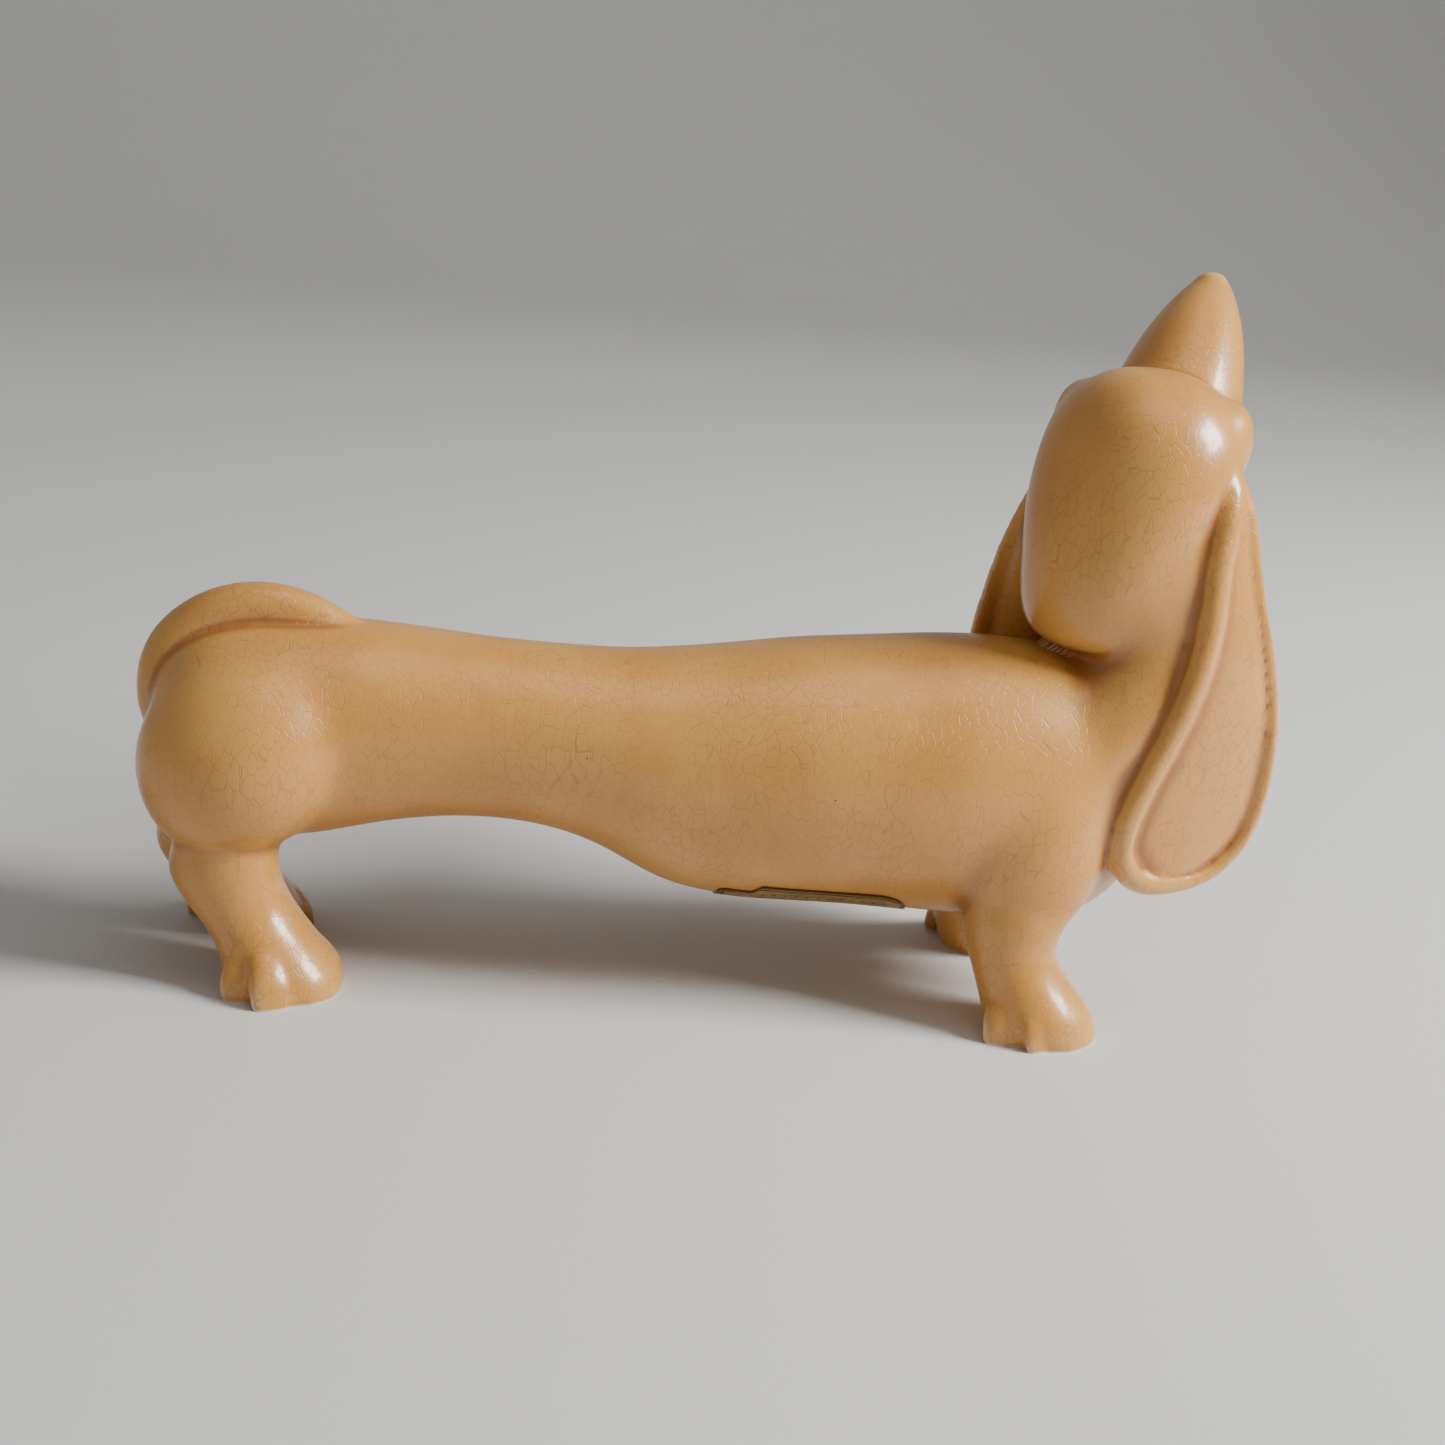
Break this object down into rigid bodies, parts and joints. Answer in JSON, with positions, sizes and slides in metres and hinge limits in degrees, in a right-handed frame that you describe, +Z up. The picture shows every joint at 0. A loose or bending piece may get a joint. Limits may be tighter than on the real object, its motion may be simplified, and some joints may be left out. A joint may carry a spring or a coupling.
{
  "type": "ceramic dachshund figurine",
  "caption": "Glazed hollow ceramic dachshund ornament with a long body and its head turned aside and raised, standing on flat soles.",
  "frame": {"origin": "on the floor, under the middle of the overall length and width", "axes": "+Z up, +X along the trunk towards the chest, +Y to the dog's left, the side the head is turned to"},
  "size_m": [0.2202, 0.0734, 0.1431],
  "materials": {
    "glazed_clay": "glossy honey crackle glaze, paler on ridges and darker in creases",
    "foil_label": "gold foil on paper with a printed border"
  },
  "bodies": {
    "root": {"torso": "glazed_clay", "head": "glazed_clay", "right_ear": "glazed_clay", "left_ear": "glazed_clay", "tail": "glazed_clay", "rear_right_leg": "glazed_clay", "rear_left_leg": "glazed_clay", "front_right_leg": "glazed_clay", "front_left_leg": "glazed_clay", "belly_label": "foil_label"}
  },
  "joints": []
}
